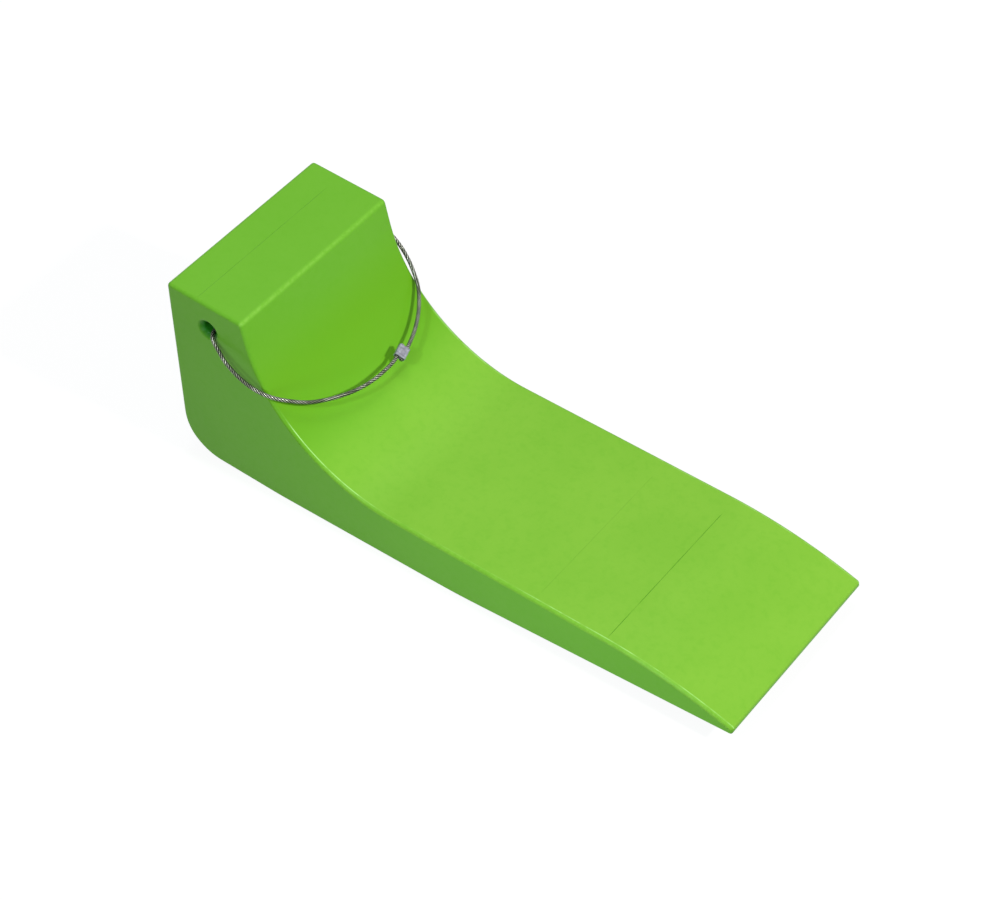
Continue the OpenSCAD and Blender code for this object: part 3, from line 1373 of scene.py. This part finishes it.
    def _bore(self, skin: Skin) -> list[list[int]]:
        """Drills the cross bore with its softly flared mouths.

        Args:
            skin: The block's points.

        Returns:
            The rings from one mouth to the other.
        """
        half, count = self.width / 2, self.bore_facets
        bore_z = self.head_h - self.head_fall * self.bore_x / self.head_l - self.bore_drop
        middle = Vector((self.bore_x - self.length / 2, 0.0, bore_z))
        spokes = [rotated(EAST, math.tau * k / count) for k in range(count)]
        outs = [Vector((s.x, 0.0, s.y)) for s in spokes]
        places = [(depth - half, radius, b) for depth, radius, b in self._mouth()]
        places += [(-y, radius, math.pi - b) for y, radius, b in reversed(places[:-1])]
        rings, shading = [], []
        for y, radius, b in places:
            deep = math.sqrt(max(0.0, half - abs(y)))
            shade = min(self.bore_shade_most, self.bore_shade * deep)
            ring = [middle + out * radius + ACROSS * y for out in outs]
            rings.append([skin.point(place, shade=shade) for place in ring])
            shading.append([-ACROSS * math.cos(b) - out * math.sin(b) for out in outs])
        skin.sheet_between(rings, shading)
        return rings

    def dress(self) -> None:
        """Builds the block and hands it to the frame."""
        block = self.build(MouldedPlastic().material())
        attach(block, "chock")
        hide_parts("chock_body")


# ---- studio ----

WHITE: Colour = (1.0, 1.0, 1.0)
COOL: Colour = (0.86, 1.0, 1.14)


@dataclass(frozen=True)
class Lamp:
    """A square soft lamp, placed round the point that it looks at."""

    name: str
    azimuth: float
    elevation: float
    distance: float
    size: float
    level: float
    target: Spot = (-0.10, 0.0, 0.08)
    tint: Colour = WHITE

    def build(self) -> None:
        """Hangs the lamp."""
        a, e = math.radians(self.azimuth), math.radians(self.elevation)
        away = Vector((math.cos(a) * math.cos(e), math.sin(a) * math.cos(e), math.sin(e)))
        data = bpy.data.lights.new(self.name, "AREA")
        data.shape = "SQUARE"
        data.size = self.size
        data.energy = self.level * (math.pi * self.distance) ** 2
        data.color = self.tint
        lamp = bpy.data.objects.new(self.name, data)
        lamp.location = Vector(self.target) + away * self.distance
        lamp.rotation_euler = (-away).to_track_quat("-Z", "Y").to_euler()
        bpy.context.scene.collection.objects.link(lamp)
        LOG.info("%s: %.1f W", self.name, data.energy)


@dataclass
class Studio:
    """Camera, lamps, floor and surroundings."""

    camera_place: Spot = (1.0036, -1.3211, 1.8343)
    camera_azimuth: float = 37.606
    camera_elevation: float = 46.428
    camera_roll: float = -1.240
    camera_lens: float = 99.80
    camera_sensor: float = 36.0
    camera_reach: tuple[float, float] = (0.05, 50.0)
    lamps: tuple[Lamp, ...] = (
        Lamp("key_lamp", 4.0, 38.0, distance=5.0, size=0.34, level=0.56),
        Lamp("left_lamp", -90.0, 48.5, distance=3.5, size=0.20, level=0.258, tint=COOL),
        Lamp("top_lamp", 117.0, 73.0, distance=3.0, size=1.0, level=0.17),
        Lamp("toe_lamp", -109.1, 7.25, 0.555, 0.14, 0.333, (0.30, -0.10, 0.05), COOL),
    )
    surround: float = 0.24
    floor_grey: float = 0.16
    floor_glow: float = 0.90
    floor_reach: float = 12.0
    floor_drop: float = 0.0004

    def build_camera(self) -> None:
        """Sets the camera up."""
        data = bpy.data.cameras.new("camera")
        data.lens = self.camera_lens
        data.sensor_width = self.camera_sensor
        data.clip_start, data.clip_end = self.camera_reach
        camera = bpy.data.objects.new("camera", data)
        camera.location = self.camera_place
        tilt = math.radians(90.0 - self.camera_elevation)
        level = Euler((tilt, 0.0, math.radians(self.camera_azimuth)), "XYZ").to_matrix()
        roll = Matrix.Rotation(math.radians(self.camera_roll), 3, "Z")
        camera.rotation_euler = (level @ roll).to_euler()
        bpy.context.scene.collection.objects.link(camera)
        bpy.context.scene.camera = camera

    def _seen(self, graph: Graph) -> Channel:
        """A mask of the rays that should meet a white studio.

        Args:
            graph: The graph to add it to.

        Returns:
            1 for camera, mirror and clear rays, 0 for the others.
        """
        camera, gloss, clear = (
            graph.add("ShaderNodeLightPath", {}, {}, f"Is {kind} Ray")
            for kind in ("Camera", "Glossy", "Transmission")
        )
        return camera.larger(gloss).larger(clear)

    def build_world(self) -> None:
        """Makes the white world, which lights the object only at the surround's level."""
        world = bpy.data.worlds.new("studio")
        world.use_nodes = True
        bpy.context.scene.world = world
        graph = Graph(world.node_tree)
        level = self._seen(graph) * (1.0 - self.surround) + self.surround
        sky = graph.add("ShaderNodeBackground", {}, {"Color": WHITE, "Strength": level})
        graph.add("ShaderNodeOutputWorld", {}, {"Surface": sky})

    def build_floor(self) -> None:
        """Makes the pale floor, which glows only to the rays that see it."""
        material, graph = new_material("studio_floor")
        matt = graph.add("ShaderNodeBsdfDiffuse", {}, {"Color": (self.floor_grey,) * 3})
        light = self._seen(graph) * self.floor_glow
        glow = graph.add("ShaderNodeEmission", {}, {"Color": WHITE, "Strength": light})
        graph.surface(graph.add("ShaderNodeAddShader", {}, {0: matt, 1: glow}))
        mesh = bpy.data.meshes.new("floor")
        reach, z = self.floor_reach, -self.floor_drop
        corners = ((-reach, -reach, z), (reach, -reach, z), (reach, reach, z), (-reach, reach, z))
        mesh.from_pydata(corners, [], [(0, 1, 2, 3)])
        mesh.materials.append(material)
        floor = bpy.data.objects.new("floor", mesh)
        bpy.context.scene.collection.objects.link(floor)


def main() -> None:
    """Builds the scene in order."""
    logging.basicConfig(level=logging.INFO, format="%(name)s: %(message)s")
    LOG.info("packed nodes: %s", ", ".join(sorted(frame["nodes"])))
    studio = Studio()
    studio.build_camera()
    CarryLoop().dress()
    Block().dress()
    for lamp in studio.lamps:
        lamp.build()
    studio.build_world()
    studio.build_floor()
    bpy.context.scene.view_settings.view_transform = "Standard"


if __name__ == "__main__":
    main()
